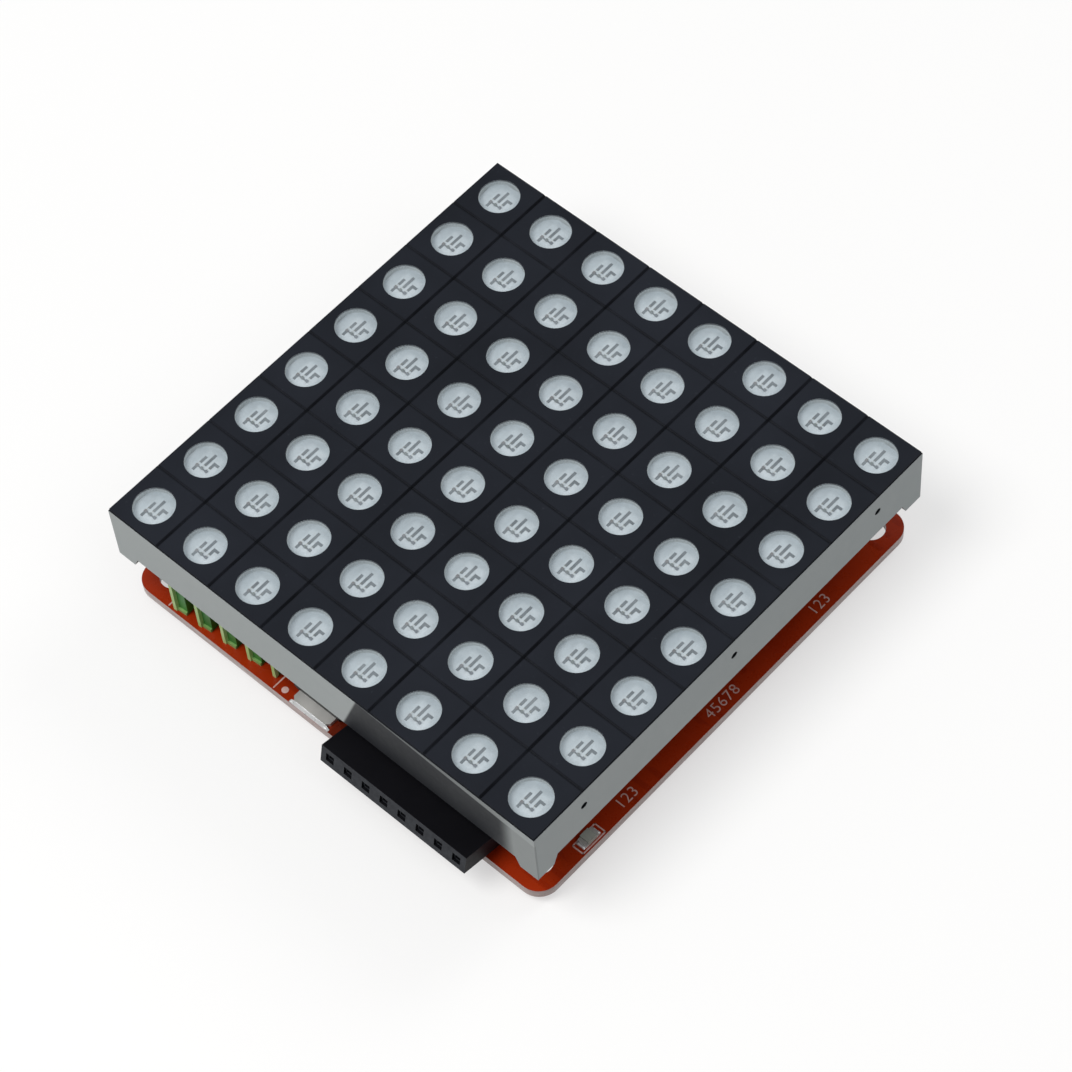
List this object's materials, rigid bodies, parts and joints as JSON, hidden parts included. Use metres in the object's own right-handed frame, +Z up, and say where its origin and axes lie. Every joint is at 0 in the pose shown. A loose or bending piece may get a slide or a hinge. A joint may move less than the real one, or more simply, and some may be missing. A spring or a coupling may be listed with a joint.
{
  "type": "led dot matrix",
  "caption": "Square LED dot matrix module plugged onto its red driver board, with a green screw terminal block and a black side header.",
  "frame": {"origin": "centre of the four mounting holes on the driver board's underside", "axes": "+Z up through the display's face, -Y towards the side with the terminal block and the side header, +X to the right when that side is nearest"},
  "size_m": [0.0602, 0.0633, 0.0161],
  "materials": {
    "white_plastic": "smooth moulded, light grey",
    "black_face": "satin printed face, bluish black",
    "clear_epoxy": "clear, slightly hazy, glossy",
    "white_laminate": "smooth, light grey",
    "potting_resin": "cast, slightly uneven",
    "trace_metal": "dull grey",
    "red_die": "polished chip",
    "green_die": "polished chip",
    "blue_die": "polished chip",
    "tinned_metal": "bright tinned",
    "red_board": "glossy red solder mask on pale laminate",
    "black_plastic": "moulded, satin",
    "contact_metal": "bright plated",
    "green_plastic": "moulded, satin",
    "screw_steel": "zinc plated",
    "clamp_brass": "plated",
    "chip_epoxy": "fine matt moulding",
    "status_lens": "cast clear resin on white",
    "can_aluminium": "drawn, bright",
    "crystal_steel": "drawn, bright",
    "tan_ceramic": "fired ceramic",
    "black_ceramic": "glazed top",
    "solder": "bright, smooth"
  },
  "bodies": {
    "root": {"matrix_housing": "white_plastic", "face_mask": "black_face", "led_board": "white_laminate", "potting": "potting_resin", "led_traces": "trace_metal", "red_dice": "red_die", "green_dice": "green_die", "blue_dice": "blue_die", "module_pins_left": "tinned_metal", "module_pins_right": "tinned_metal", "driver_board": "red_board", "socket_left": "black_plastic", "socket_right": "black_plastic", "socket_contacts_left": "contact_metal", "socket_contacts_right": "contact_metal", "side_header": "black_plastic", "header_contacts": "contact_metal", "terminal_block": "green_plastic", "terminal_screws": "screw_steel", "terminal_clamps": "clamp_brass", "regulator_body": "chip_epoxy", "regulator_tab": "tinned_metal", "regulator_leads": "tinned_metal", "status_led_body": "status_lens", "status_led_ends": "tinned_metal", "microcontroller": "chip_epoxy", "microcontroller_leads": "tinned_metal", "column_drivers": "chip_epoxy", "column_driver_leads": "tinned_metal", "row_drivers": "chip_epoxy", "row_driver_leads": "tinned_metal", "capacitor_cans": "can_aluminium", "capacitor_bases": "black_plastic", "crystal_case": "crystal_steel", "crystal_base": "black_plastic", "chip_capacitors": "tan_ceramic", "chip_resistors": "black_ceramic", "chip_ends": "tinned_metal", "solder_joints": "solder", "window_row_1": "clear_epoxy", "window_row_2": "clear_epoxy", "window_row_3": "clear_epoxy", "window_row_4": "clear_epoxy", "window_row_5": "clear_epoxy", "window_row_6": "clear_epoxy", "window_row_7": "clear_epoxy", "window_row_8": "clear_epoxy"}
  },
  "joints": []
}
